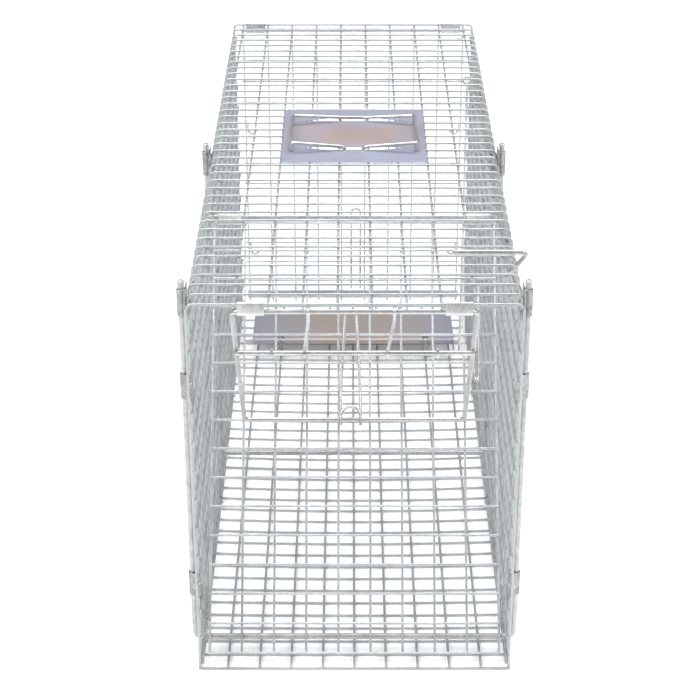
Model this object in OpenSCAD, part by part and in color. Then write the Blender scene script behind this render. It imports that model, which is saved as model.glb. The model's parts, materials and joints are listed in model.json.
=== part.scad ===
// Live catch trap: a wire mesh cage with a sloping gravity door, a hinged lock frame,
// a rear panel and a treadle that turns a hook rod. Millimetres, +Z up, front towards -Y.
// The origin is at the middle of the cage's footprint, on the surface that it stands on.

/* [Cage] */
// Width over the side walls
cage_w = 250; // [240:1:260]
// Height over the roof
cage_h = 326; // [322:1:330]
// Length over the front and rear edges
cage_l = 680; // [676:1:684]
// Diameter of the mesh wires
wire_d = 2; // [1.8:0.1:2]
// Spacing of the lengthwise wires
mesh_pitch = 25.4; // [25:0.1:25.4]
// Number of bays between the hoops along the cage
hoop_bays = 39; // [39:1:39]
// Number of bays between the cross wires of the floor
floor_bays = 36; // [36:1:36]
// Bend radius of the upper corners, at the middle of the wire
corner_r = 5; // [4:1:6]

/* [Stiffening rods] */
// Diameter of the U rods
u_rod_d = 5; // [4:0.5:5]
// Distance of the front U rod behind the front edge
front_rod_y = 22.5; // [22.3:0.1:23]
// Distance of the middle U rod behind the front edge
mid_rod_y = 305.2; // [303:0.1:307]
// Height of the middle U rod's crossbar above the front one's
mid_rod_rise = 9; // [0:0.5:9.5]
// Height of the U rods' free ends above the roof
u_rod_rise = 9; // [8:1:11]

/* [Door] */
// Distance of the door hinge behind the front edge
hinge_y = 223.5; // [222:0.5:223.5]
// Depth of the door hinge below the roof
hinge_drop = 26; // [24:1:28]
// Slope of the closed door below the horizontal
door_angle = 54; // [54:1:54]
// Half the width of the door, at the middle of its edge wires
door_half = 117; // [114:1:117]
// Spacing of the door's cross wires
door_pitch = 23.7; // [23.4:0.1:23.7]
// Number of bays between the door's cross wires
door_bays = 15; // [15:1:15]
// Diameter of the hinge rod
hinge_rod_d = 4; // [3:0.5:4]

/* [Lock frame] */
// Diameter of the lock frame's rod
frame_rod_d = 4; // [3:0.5:4]
// Half the width of the lock frame, at the middle of its side legs
frame_half = 90; // [90:0.5:91]
// Place of the bottom bar along the closed door, from the hinge
bar_along = 172; // [170:1:174]
// Distance of the bottom bar off the closed door
bar_off = 9.5; // [9:0.5:10]

/* [Treadle and trigger] */
// Width of the treadle plate
treadle_w = 212; // [200:1:212]
// Depth of the treadle plate behind its pivot
treadle_d = 67; // [60:1:70]
// Distance of the treadle pivot behind the front edge
treadle_y = 552; // [550:0.5:553]
// Height of the treadle pivot above the base
treadle_z = 20; // [18:0.5:21]
// Diameter of the treadle's pivot rod and of the trigger rod
trigger_rod_d = 4; // [3.5:0.5:4]
// Reach of the hook over the roof, measured from the middle of the cage
hook_tip_x = 75; // [70:1:80]

/* [Handle] */
// Width of the hand plate
plate_w = 126; // [120:1:130]
// Depth of the hand plate
plate_d = 130; // [126:1:132]
// Distance of the hand plate's front edge behind the front edge of the cage
plate_y = 282; // [280:1:284]
// Diameter of the handle wire
handle_d = 3; // [2.5:0.5:4]

/* [Hidden] */

// Small gap left between welded wires, so that each wire stays a separate solid
weld_gap = 0.05;
sheet_t = 1;
round_fn = 48;
bend_extra = 0.1;
bend_step = 0.06;
wire_r = wire_d / 2;
layer = wire_d + weld_gap;
flat_sides = 8;

front_y = -cage_l / 2;
first_hoop_y = front_y + wire_r;
hoop_pitch = (cage_l - wire_d) / hoop_bays;
floor_pitch = (cage_l - wire_d) / floor_bays;

// Middle of the wires in each layer of the shell
upright_x = cage_w / 2 - wire_r;
wall_long_x = upright_x - layer;
hoop_z = cage_h - wire_r;
roof_long_z = hoop_z - layer;
floor_cross_z = wire_r;
floor_long_z = floor_cross_z + layer;
roof_half = upright_x - corner_r;
upright_top = hoop_z - corner_r;
upright_bottom = floor_long_z + wire_r + 2 * weld_gap;
wall_first_z = 6;
wall_wires = 13;
roof_half_wires = 5;
floor_half_wires = 4;

// U rods
u_leg_x = cage_w / 2 + 3.5;
u_bend_r = 6;
u_rod_r = u_rod_d / 2;
rod_clear = 0.1;
clamp_h = 22;
clamp_bays = [2.5, 9.5];
clamp_top_z = cage_h + 2;

// Door, in its own frame: s runs down the slope from the hinge, n stands off its outer face
hinge_z = cage_h - hinge_drop;
door_wire_gap = layer;
door_first_s = 5.2;
door_end_s = door_first_s + door_bays * door_pitch + wire_r;
door_wire_start = 4.2;
door_long_count = 10;
sleeve_len = 20;
door_sleeve_x = 104;
door_rest_gap = 0.3;
door_rest_n = -(wire_r + u_rod_r + door_rest_gap);
// Height of the front U rod's crossbar, so that the closed door rests on it
rest_s = (hinge_y - front_rod_y - door_rest_n * sin(door_angle)) / cos(door_angle);
crossbar_z = hinge_z - rest_s * sin(door_angle) + door_rest_n * cos(door_angle);

// Lock frame pivot, just below the front hoop, and its lean from that pivot to the bottom bar
frame_r = frame_rod_d / 2;
frame_drop = 5.8;
pivot_z = hoop_z - frame_drop;
pivot_from_front = wire_r;
bar_y = hinge_y - bar_along * cos(door_angle) - bar_off * sin(door_angle);
bar_drop = hinge_drop + bar_along * sin(door_angle) - bar_off * cos(door_angle);
lean_y = bar_y - pivot_from_front;
lean_z = bar_drop - (cage_h - pivot_z);
frame_len = norm([lean_y, lean_z]);
frame_lean = atan2(lean_y, lean_z);
frame_sleeve_x = 76.2;
cross_rod_at = 0.314 * frame_len;
cross_rod_over = 1.5;
hanger_d = 2.5;
hanger_x = [-34, 29];
eye_x = [-63, 63];

// Catch on the door
catch_d = 2.6;
catch_top_s = 84;
catch_knee_s = 150;
catch_arch_s = 170;
catch_end_s = 178;
catch_arch_r = 8;
catch_top_half = 4.7;
catch_low_n = door_wire_gap + wire_r + catch_d / 2 + weld_gap;
catch_high_n = bar_off + frame_r + catch_d / 2 + 1.5;
catch_x = 3;

// Hooked wire on the right of the door, as places [-x, s]
side_hook = [[-103, 58], [-103, 136], [-101, 140.5], [-98.8, 136.5], [-97.4, 116]];

// Rear panel, hung from the rear hoop in the same way as the lock frame
rear_y = -first_hoop_y;
rear_long_y = rear_y - frame_r - wire_r - weld_gap;
rear_cross_y = rear_long_y - layer;
rear_half = 117;
rear_bottom_z = 9;
rear_bays = 12;
rear_top_z = pivot_z - 8;
rear_sleeve_x = 101.6;
rail_h = 9;
rail_z = 13;
latch_x = 112;
latch_z = [72, 212];
latch_d = 2.4;
latch_r = 4.5;
latch_len = 9;
bait_low_z = 26;
bait_high_z = 116;
bait_half = 5;
bait_d = 2.4;
bait_x = 3;
bait_y = rear_cross_y - wire_r - bait_d / 2 - weld_gap;

// Treadle
trigger_r = trigger_rod_d / 2;
pivot_y = front_y + treadle_y;
knuckle_in = trigger_r + rod_clear;
knuckle_out = knuckle_in + sheet_t;
pivot_half = 114;
clip_x = [-76.2, 76.2];
clip_w = 4;
clip_side_gap = 1;
fold_h = 6;
arm_t = 1.5;
arm_x = treadle_w / 2 - arm_t;
arm_reach = 23;
arm_head_r = 4;
link_d = 3;
link_eye_r = 2.1;

// Trigger rod along the right wall, with its hook at the front and its crank at the link
trigger_x = 118.5;
trigger_z = cage_h - 12;
hook_y = hoop_y(4.5);
hook_elbow = [133.5, 332];
crank_reach = 7.5;
crank_eye_r = 2.6;
crank_head_r = 4.4;
crank_root_r = 3.4;
link_x = trigger_x - crank_reach;
link_y = pivot_y - arm_reach;
crank_gap = 1;
crank_y = link_y + link_d / 2 + crank_gap;
trigger_back_y = crank_y + 8;
guide_bays = [8.5, 19.5, 28.5];
guide_wire_z = wall_first_z + (wall_wires - 1) * mesh_pitch;

// Handle
plate_z = cage_h + weld_gap;
slot_w = 92;
slot_sagitta = 11.5;
slot_front_y = 319;
slot_back_y = 383;
handle_z = plate_z + sheet_t + 8;
handle_low_z = handle_z - 5.5;
handle_half = 55;
handle_front_y = front_y + 306;
handle_back_y = front_y + 375;
handle_hook_y = front_y + 310.8;
handle_dip_y = front_y + 385;
handle_hook_x = 8;
handle_hook_z = 321.5;

galvanised = [0.78, 0.80, 0.81];
bright = [0.86, 0.87, 0.88];
plated = [0.62, 0.62, 0.70];
dull = [0.66, 0.68, 0.68];

// ---------------------------------------------------------------- shared shapes

// Straight wire from a to b along one axis, with flat sides that face the axes
module wire_x(x0, x1, y, z, r = wire_r)
    translate([x0, y, z])
        rotate([0, 90, 0])
            rotate([0, 0, 180 / flat_sides])
                cylinder(h = x1 - x0, r = r / cos(180 / flat_sides), $fn = flat_sides);

module wire_y(y0, y1, x, z, r = wire_r)
    translate([x, y0, z])
        rotate([-90, 0, 0])
            rotate([0, 0, 180 / flat_sides])
                cylinder(h = y1 - y0, r = r / cos(180 / flat_sides), $fn = flat_sides);

module wire_z(z0, z1, x, y, r = wire_r)
    translate([x, y, z0])
        rotate([0, 0, 180 / flat_sides])
            cylinder(h = z1 - z0, r = r / cos(180 / flat_sides), $fn = flat_sides);

// Round rod between two points
module rod(a, b, d) {
    v = b - a;
    translate(a)
        rotate([0, atan2(norm([v[0], v[1]]), v[2]), atan2(v[1], v[0])])
            cylinder(h = norm(v), d = d, $fn = round_fn);
}

// Round rod through a list of points, with a slightly larger ball at each bend.
// Every other length is a little thinner, which keeps neighbouring surfaces from touching.
module bent_rod(points, d) {
    for (i = [1 : len(points) - 1])
        rod(points[i - 1], points[i], d - bend_step * (i % 2));
    for (i = [1 : len(points) - 2])
        translate(points[i])
            sphere(d = d + bend_extra, $fn = round_fn);
}

// Outline of a strap pulled tight around two round bars
module strap_outline(p, rp, q, rq) {
    v = q - p;
    turn = atan2(v[1], v[0]);
    side = acos((rp - rq) / norm(v));
    translate(p)
        circle(r = rp, $fn = round_fn);
    translate(q)
        circle(r = rq, $fn = round_fn);
    polygon([for (k = [-1, 1]) each
        (k < 0 ? [p + rp * [cos(turn - side), sin(turn - side)],
                  q + rq * [cos(turn - side), sin(turn - side)]]
               : [q + rq * [cos(turn + side), sin(turn + side)],
                  p + rp * [cos(turn + side), sin(turn + side)]])]);
}

// Strap of sheet around two bars, given by their middles and the strap's inner radii
module strap(p, rp, q, rq, length, t = sheet_t)
    linear_extrude(length, center = true)
        difference() {
            strap_outline(p, rp + t, q, rq + t);
            strap_outline(p, rp, q, rq);
        }

// Puts a drawing in the (y, z) plane, extruded along x
module across() rotate([90, 0, 90]) children();

// Puts a drawing in the (x, z) plane, extruded along y, with its x kept
module along() rotate([90, 0, 0]) children();

// Door frame: x stays, y runs down the slope from the hinge, z stands off the outer face
module on_door()
    translate([0, front_y + hinge_y, hinge_z])
        rotate([door_angle, 0, 0])
            rotate([0, 0, 180])
                children();

// Lock frame: x stays, z runs up from the bottom bar's side to the pivot at the origin
module on_lock_frame()
    translate([0, front_y + pivot_from_front, pivot_z])
        rotate([frame_lean, 0, 0])
            children();

function hoop_y(k) = first_hoop_y + k * hoop_pitch;
function roof_wire_x(k) = (k + 0.5) * mesh_pitch;

// ---------------------------------------------------------------- cage shell

module roof_cross_wires()
    color(galvanised)
        for (k = [0 : hoop_bays])
            wire_x(-roof_half, roof_half, hoop_y(k), hoop_z);

module roof_long_wires()
    color(galvanised)
        for (k = [-roof_half_wires : roof_half_wires - 1])
            wire_y(front_y, -front_y, roof_wire_x(k), roof_long_z);

module upright_wires(side)
    for (k = [0 : hoop_bays])
        wire_z(upright_bottom, upright_top, side * upright_x, hoop_y(k));

module wall_long_wires(side)
    for (k = [0 : wall_wires - 1])
        wire_y(front_y, -front_y, side * wall_long_x, wall_first_z + k * mesh_pitch);

module left_wall_upright_wires() color(galvanised) upright_wires(-1);

module left_wall_long_wires() color(galvanised) wall_long_wires(-1);

module right_wall_upright_wires() color(galvanised) upright_wires(1);

module right_wall_long_wires() color(galvanised) wall_long_wires(1);

// One quarter bend, joining a roof wire to an upright
module corner_bend()
    rotate([90, 0, 0])
        rotate_extrude(angle = 90, $fn = round_fn)
            translate([corner_r, 0])
                circle(r = wire_r, $fn = 16);

module corner_bends()
    color(galvanised)
        for (side = [0, 1])
            mirror([side, 0, 0])
                for (k = [0 : hoop_bays])
                    translate([roof_half, hoop_y(k), upright_top])
                        corner_bend();

module floor_cross_wires()
    color(galvanised)
        for (k = [0 : floor_bays])
            wire_x(-cage_w / 2, cage_w / 2, first_hoop_y + k * floor_pitch, floor_cross_z);

module floor_long_wires()
    color(galvanised) {
        for (k = [-floor_half_wires : floor_half_wires])
            wire_y(front_y, -front_y, k * mesh_pitch, floor_long_z);
        for (side = [-1, 1])
            wire_y(front_y, -front_y, side * upright_x, floor_long_z);
    }

// Open rings that tie the floor's edge wires to the lowest wall wires
module floor_rings() {
    ring_d = 1.6;
    ring_r = 3.7;
    ring_angle = 300;
    color(dull)
        for (side = [0, 1])
            mirror([side, 0, 0])
                for (y = [62, 255, 462, 652])
                    translate([upright_x - wire_r, front_y + y, 4.6])
                        rotate([90, 60, 0])
                            rotate_extrude(angle = ring_angle, $fn = round_fn)
                                translate([ring_r, 0])
                                    circle(d = ring_d, $fn = 20);
}

// ---------------------------------------------------------------- U rods and clamps

module u_rod(y, bar_z) {
    bend_x = u_leg_x - u_bend_r;
    translate([0, front_y + y, 0]) {
        rod([-bend_x, 0, bar_z], [bend_x, 0, bar_z], u_rod_d);
        for (side = [0, 1])
            mirror([side, 0, 0]) {
                translate([bend_x, 0, bar_z + u_bend_r])
                    rotate([90, 0, 0])
                        rotate([0, 0, -90])
                            rotate_extrude(angle = 90, $fn = round_fn)
                                translate([u_bend_r, 0])
                                    circle(r = u_rod_r, $fn = round_fn);
                rod([u_leg_x, 0, bar_z + u_bend_r], [u_leg_x, 0, cage_h + u_rod_rise], u_rod_d);
            }
    }
}

module front_u_rod() color(dull) u_rod(front_rod_y, crossbar_z);

module mid_u_rod() color(dull) u_rod(mid_rod_y, crossbar_z + mid_rod_rise);

// Upper keeper: an eye around a leg, with a tab that lies on the outside of the uprights
module rod_clamp() {
    eye_r = u_rod_r + rod_clear;
    tab_len = 24;
    tab_x = cage_w / 2 + 2 * weld_gap;
    linear_extrude(clamp_h)
        difference() {
            union() {
                circle(r = eye_r + sheet_t, $fn = round_fn);
                translate([tab_x - u_leg_x, -tab_len / 2])
                    square([sheet_t, tab_len]);
            }
            circle(r = eye_r, $fn = round_fn);
        }
}

// Keepers of one U rod: straps around each leg and the hoop before it, and the upper ones
module rod_clamps(y, hoop)
    for (side = [0, 1])
        mirror([side, 0, 0]) {
            for (bay = clamp_bays)
                translate([0, 0, wall_first_z + bay * mesh_pitch])
                    strap([u_leg_x, front_y + y], u_rod_r + rod_clear,
                          [upright_x, hoop_y(hoop)], wire_r + 0.08 + weld_gap, clamp_h - 1);
            translate([u_leg_x, front_y + y, clamp_top_z - clamp_h])
                rod_clamp();
        }

module front_rod_clamps() color(dull) rod_clamps(front_rod_y, 1);

module mid_rod_clamps() color(dull) rod_clamps(mid_rod_y, 17);

// ---------------------------------------------------------------- handle

// D-shaped finger slot: a chord with an arc that bulges towards +Y
module finger_slot(sagitta) {
    arc_r = (pow(slot_w / 2, 2) + pow(sagitta, 2)) / (2 * sagitta);
    intersection() {
        translate([0, sagitta - arc_r])
            circle(r = arc_r, $fn = 96);
        translate([-slot_w / 2, 0])
            square([slot_w, sagitta]);
    }
}

module hand_plate()
    color(plated)
        translate([0, 0, plate_z])
            linear_extrude(sheet_t)
                difference() {
                    translate([-plate_w / 2, front_y + plate_y])
                        square([plate_w, plate_d]);
                    translate([0, front_y + slot_back_y])
                        finger_slot(slot_sagitta);
                    translate([0, front_y + slot_front_y])
                        mirror([0, 1])
                            finger_slot(slot_sagitta);
                }

// Wire handle: a loop on four feet, whose long sides dip towards the finger slots.
// Its two ends turn down through the front slot.
module handle_wire() {
    foot_z = plate_z + sheet_t + weld_gap;
    color(bright) {
        bent_rod([[-handle_hook_x, handle_hook_y, handle_hook_z],
                  [-handle_hook_x, handle_hook_y, handle_low_z],
                  [-handle_half, handle_front_y, handle_z],
                  [-handle_half, handle_back_y, handle_z],
                  [-handle_hook_x, handle_dip_y, handle_low_z],
                  [handle_hook_x, handle_dip_y, handle_low_z],
                  [handle_half, handle_back_y, handle_z],
                  [handle_half, handle_front_y, handle_z],
                  [handle_hook_x, handle_hook_y, handle_low_z],
                  [handle_hook_x, handle_hook_y, handle_hook_z]], handle_d);
        for (side = [-1, 1], y = [handle_front_y, handle_back_y])
            rod([side * handle_half, y, foot_z], [side * handle_half, y, handle_z - 0.5],
                0.8 * handle_d);
    }
}

// ---------------------------------------------------------------- door

module door_hinge_rod()
    color(dull)
        rod([-cage_w / 2 - 2, front_y + hinge_y, hinge_z],
            [cage_w / 2 + 2, front_y + hinge_y, hinge_z], hinge_rod_d);

module door_long_wires()
    color(bright)
        on_door()
            for (k = [0 : door_long_count - 1])
                wire_y(door_wire_start, door_end_s,
                       -door_half + k * 2 * door_half / (door_long_count - 1), 0);

module door_cross_wires()
    color(bright)
        on_door()
            for (k = [0 : door_bays])
                wire_x(-door_half - wire_r, door_half + wire_r,
                       door_first_s + k * door_pitch, door_wire_gap);

// Rolled sleeves that turn on the hinge rod and grip the door's top wire
module door_sleeves()
    color(bright)
        on_door()
            for (side = [-1, 1])
                translate([side * door_sleeve_x, 0, 0])
                    across()
                        strap([0, 0], hinge_rod_d / 2 + rod_clear,
                              [door_first_s, door_wire_gap], wire_r + 0.08 + weld_gap, sleeve_len);

// Catch: two prongs down the door that rise over the lock bar and end in an open arch
module door_catch()
    color(bright)
        on_door()
            translate([catch_x, 0, 0]) {
                for (side = [-1, 1])
                    bent_rod([[side * catch_top_half, catch_top_s, catch_low_n],
                              [side * catch_arch_r, catch_knee_s, catch_low_n],
                              [side * catch_arch_r, catch_arch_s, catch_high_n],
                              [side * catch_arch_r, catch_end_s, catch_high_n]], catch_d);
                translate([0, catch_arch_s, catch_high_n])
                    rotate([0, 0, 180])
                        rotate_extrude(angle = 180, $fn = round_fn)
                            translate([catch_arch_r, 0])
                                circle(d = catch_d, $fn = 24);
            }

module door_side_hook()
    color(bright)
        on_door()
            bent_rod([for (p = side_hook) [p[0], p[1], catch_low_n]], catch_d);

// ---------------------------------------------------------------- lock frame

module lock_frame()
    color(dull)
        on_lock_frame() {
            rod([-frame_half, 0, 0], [frame_half, 0, 0], frame_rod_d);
            rod([-frame_half, 0, -frame_len], [frame_half, 0, -frame_len], frame_rod_d);
            for (side = [-1, 1]) {
                rod([side * frame_half, 0, -frame_len], [side * frame_half, 0, 0], frame_rod_d);
                for (z = [0, -frame_len])
                    translate([side * frame_half, 0, z])
                        sphere(d = frame_rod_d, $fn = round_fn);
            }
        }

module lock_frame_cross_rod() {
    half = frame_half + cross_rod_over;
    off = -(frame_rod_d + weld_gap);
    color(dull)
        on_lock_frame()
            rod([-half, off, -cross_rod_at], [half, off, -cross_rod_at], frame_rod_d);
}

// Two wires that hang from the pivot rod to eyes on the cross rod, and two more eyes
module lock_frame_hangers() {
    off = -(frame_rod_d + weld_gap);
    ring_r = frame_r + weld_gap + hanger_d / 2;
    low = ring_r - cross_rod_at;
    slant = 4;
    color(bright)
        on_lock_frame() {
            for (x = hanger_x)
                bent_rod([[x, -ring_r, 0], [x, off, -2 * ring_r], [x - slant, off, low]], hanger_d);
            for (x = [hanger_x[0] - slant, hanger_x[1] - slant, eye_x[0], eye_x[1]])
                translate([x, off, -cross_rod_at])
                    rotate([0, 90, 0])
                        rotate_extrude($fn = round_fn)
                            translate([ring_r, 0])
                                circle(d = hanger_d, $fn = 20);
        }
}

// Sleeves around an edge hoop and the rod that hangs below it
module hoop_sleeves(y, x)
    for (side = [-1, 1])
        translate([side * x, 0, 0])
            across()
                strap([y, pivot_z], frame_r + rod_clear, [y, hoop_z], wire_r + 0.08 + weld_gap, sleeve_len);

module lock_frame_sleeves() color(bright) hoop_sleeves(first_hoop_y, frame_sleeve_x);

module rear_sleeves() color(bright) hoop_sleeves(rear_y, rear_sleeve_x);

// ---------------------------------------------------------------- rear panel

module rear_top_rod()
    color(dull)
        rod([-rear_half, rear_y, pivot_z], [rear_half, rear_y, pivot_z], frame_rod_d);

module rear_long_wires()
    color(bright)
        for (k = [-roof_half_wires : roof_half_wires - 1])
            wire_z(rear_bottom_z, pivot_z + wire_r, roof_wire_x(k), rear_long_y);

module rear_cross_wires()
    color(bright)
        for (k = [0 : rear_bays])
            wire_x(-rear_half, rear_half, rear_cross_y,
                   rear_bottom_z + wire_r + 24 + k * (rear_top_z - rear_bottom_z - 25) / rear_bays);

// Folded sheet strip that stiffens the panel's lower edge
module rear_bottom_rail()
    color(plated)
        translate([-rear_half, rear_cross_y - wire_r, rail_z])
            cube([2 * rear_half, wire_d, rail_h]);

// Small J hooks at the panel's sides
module rear_latch_hooks() {
    y = rear_cross_y - wire_r - latch_d / 2 - weld_gap;
    color(bright)
        for (side = [0, 1])
            mirror([side, 0, 0])
                for (z = latch_z)
                    translate([latch_x, y, z]) {
                        rod([0, 0, 0], [0, 0, latch_len], latch_d);
                        translate([-latch_r, 0, 0])
                            rotate([90, 0, 0])
                                rotate([0, 0, 180])
                                    rotate_extrude(angle = 180, $fn = round_fn)
                                        translate([latch_r, 0])
                                            circle(d = latch_d, $fn = 24);
                    }
}

// Hairpin on the inside of the panel for hanging bait
module bait_hook()
    color(bright)
        translate([bait_x, bait_y, 0]) {
            for (side = [-1, 1])
                rod([side * bait_half, 0, bait_low_z], [side * bait_half, 0, bait_high_z], bait_d);
            translate([0, 0, bait_high_z])
                rotate([90, 0, 0])
                    rotate_extrude(angle = 180, $fn = round_fn)
                        translate([bait_half, 0])
                            circle(d = bait_d, $fn = 24);
        }

// ---------------------------------------------------------------- treadle

module treadle_pivot_rod()
    color(dull)
        rod([-pivot_half, pivot_y, treadle_z], [pivot_half, pivot_y, treadle_z], trigger_rod_d);

// Plate rolled around the pivot rod between the clips, with folded sides and an arm to the link
module treadle_plate() {
    half = treadle_w / 2;
    clear = clip_w / 2 + clip_side_gap;
    edges = concat([-half], [for (x = clip_x) each [x - clear, x + clear]], [half]);
    top = treadle_z + knuckle_out;
    color(plated)
        difference() {
            union() {
                translate([-half, pivot_y, top - sheet_t])
                    cube([treadle_w, treadle_d, sheet_t]);
                rod([-half, pivot_y, treadle_z], [half, pivot_y, treadle_z], 2 * knuckle_out);
                for (x = [-half, half - sheet_t])
                    translate([x, pivot_y + 8, top - fold_h])
                        cube([sheet_t, treadle_d - 8, fold_h]);
                translate([arm_x, pivot_y - arm_reach, treadle_z - arm_head_r])
                    cube([arm_t, arm_reach + 20, arm_head_r + knuckle_out - sheet_t / 2]);
                rod([arm_x, link_y, treadle_z], [arm_x + arm_t, link_y, treadle_z], 2 * arm_head_r);
            }
            rod([-half - 1, pivot_y, treadle_z], [half + 1, pivot_y, treadle_z], 2 * knuckle_in);
            rod([arm_x - 1, link_y, treadle_z], [arm_x + arm_t + 1, link_y, treadle_z], 2 * link_eye_r);
            for (x = clip_x)
                translate([x - clear, pivot_y - knuckle_out - 1, treadle_z - knuckle_out - 1])
                    cube([2 * clear, 2 * knuckle_out + 2.5, 2 * knuckle_out + 2]);
        }
}

// Clips that stand on the floor's lengthwise wires and hold the pivot rod
module treadle_clips() {
    ring_in = wire_r + 0.08 + weld_gap;
    ring_out = ring_in + sheet_t - 0.05;
    leg_low = floor_long_z + ring_in + sheet_t / 2;
    color(dull)
        for (x = clip_x)
            translate([x, pivot_y, 0])
                difference() {
                    union() {
                        rod([-clip_w / 2, 0, treadle_z], [clip_w / 2, 0, treadle_z], 2 * knuckle_out);
                        translate([-clip_w / 2, -sheet_t, leg_low])
                            cube([clip_w, 2 * sheet_t, treadle_z - leg_low]);
                        rod([0, -clip_w / 3, floor_long_z], [0, clip_w / 3, floor_long_z], 2 * ring_out);
                    }
                    rod([-clip_w, 0, treadle_z], [clip_w, 0, treadle_z], 2 * knuckle_in);
                    rod([0, -clip_w, floor_long_z], [0, clip_w, floor_long_z], 2 * ring_in);
                }
}

// ---------------------------------------------------------------- trigger

// Upright link: its foot pin sits in the treadle's arm and its top pin in the crank
module trigger_link() {
    foot_x = arm_x - 2;
    pin_y = crank_y + arm_t + 2;
    color(bright)
        bent_rod([[foot_x, link_y, treadle_z],
                  [link_x, link_y, treadle_z],
                  [link_x, link_y, trigger_z],
                  [link_x, pin_y, trigger_z]], link_d);
}

// Rod with its crank, and the hook that rises through the roof and turns in over it
module trigger_rod()
    color(bright) {
        bent_rod([[hook_tip_x, hook_y, hook_elbow[1]],
                  [hook_elbow[0], hook_y, hook_elbow[1]],
                  [trigger_x, hook_y, trigger_z],
                  [trigger_x, trigger_back_y, trigger_z]], trigger_rod_d);
        translate([0, crank_y + arm_t, 0])
            along()
                linear_extrude(arm_t)
                    difference() {
                        strap_outline([trigger_x, trigger_z], crank_root_r,
                                      [link_x, trigger_z], crank_head_r);
                        translate([link_x, trigger_z])
                            circle(r = crank_eye_r, $fn = round_fn);
                    }
    }

// Straps that hold the rod against the top wall wire
module trigger_guides()
    color(dull)
        for (k = guide_bays)
            translate([0, hoop_y(k), 0])
                along()
                    strap([trigger_x, trigger_z], trigger_r + rod_clear,
                          [wall_long_x, guide_wire_z], wire_r + 0.08 + weld_gap, 6, 0.8);

roof_cross_wires();
roof_long_wires();
left_wall_upright_wires();
left_wall_long_wires();
right_wall_upright_wires();
right_wall_long_wires();
corner_bends();
floor_cross_wires();
floor_long_wires();
floor_rings();
front_u_rod();
mid_u_rod();
front_rod_clamps();
mid_rod_clamps();
hand_plate();
handle_wire();
door_hinge_rod();
lock_frame_sleeves();
rear_sleeves();
door_long_wires();
door_cross_wires();
door_sleeves();
door_catch();
door_side_hook();
lock_frame();
lock_frame_cross_rod();
lock_frame_hangers();
rear_top_rod();
rear_long_wires();
rear_cross_wires();
rear_bottom_rail();
rear_latch_hooks();
bait_hook();
treadle_plate();
treadle_pivot_rod();
treadle_clips();
trigger_link();
trigger_rod();
trigger_guides();
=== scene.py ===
"""Live catch trap: smooth galvanised wires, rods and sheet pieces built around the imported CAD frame."""

import json
import math

import bmesh
import bpy
import numpy as np
from mathutils import Matrix, Vector, noise


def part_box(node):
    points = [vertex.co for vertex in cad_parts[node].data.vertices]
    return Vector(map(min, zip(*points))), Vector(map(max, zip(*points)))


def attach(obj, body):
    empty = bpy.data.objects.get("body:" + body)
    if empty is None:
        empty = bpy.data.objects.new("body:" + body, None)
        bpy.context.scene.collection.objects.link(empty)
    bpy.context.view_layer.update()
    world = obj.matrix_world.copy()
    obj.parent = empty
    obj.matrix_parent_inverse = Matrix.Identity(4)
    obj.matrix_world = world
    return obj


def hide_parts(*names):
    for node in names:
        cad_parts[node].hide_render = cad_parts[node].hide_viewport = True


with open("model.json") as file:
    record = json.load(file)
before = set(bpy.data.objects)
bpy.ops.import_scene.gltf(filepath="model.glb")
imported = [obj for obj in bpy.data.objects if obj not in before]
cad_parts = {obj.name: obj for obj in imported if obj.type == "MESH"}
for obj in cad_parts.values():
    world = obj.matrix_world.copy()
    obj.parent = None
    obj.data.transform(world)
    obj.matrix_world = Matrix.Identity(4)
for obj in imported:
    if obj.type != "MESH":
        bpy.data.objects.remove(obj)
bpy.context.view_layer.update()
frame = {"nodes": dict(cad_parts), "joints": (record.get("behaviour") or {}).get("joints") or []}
scene = bpy.context.scene
MM = 0.001
JOINTS = {joint["name"]: joint for joint in frame["joints"]}
X, Y, Z = Vector((1, 0, 0)), Vector((0, 1, 0)), Vector((0, 0, 1))


# ---------------------------------------------------------------- camera, floor and light

CAGE_LOW, CAGE_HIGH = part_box("floor_long_wires")[0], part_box("roof_cross_wires")[1]
CAGE_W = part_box("floor_cross_wires")[1].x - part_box("floor_cross_wires")[0].x


def make_camera():
    """Stands in front of the trap, above its roof, and looks down into it, as in the photograph."""
    data = bpy.data.cameras.new("camera")
    camera = bpy.data.objects.new("camera", data)
    scene.collection.objects.link(camera)
    data.sensor_width = 36
    data.lens = 99.3
    distance_in_widths, rise_in_widths, aside_in_widths = 5.082, 2.42, -0.016
    pitch_down, yaw_right = math.radians(26.83), math.radians(0.02)
    camera.location = (aside_in_widths * CAGE_W, CAGE_LOW.y - distance_in_widths * CAGE_W,
                       CAGE_HIGH.z + rise_in_widths * CAGE_W)
    camera.rotation_euler = (math.pi / 2 - pitch_down, 0, -yaw_right)
    scene.camera = camera


def area_light(name, place, aim, size, watts):
    data = bpy.data.lights.new(name, "AREA")
    data.shape = "DISK"
    data.size = size
    data.energy = watts
    light = bpy.data.objects.new(name, data)
    light.location = place
    toward = Vector(aim) - Vector(place)
    light.rotation_euler = toward.to_track_quat("-Z", "Y").to_euler()
    scene.collection.objects.link(light)


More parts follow.
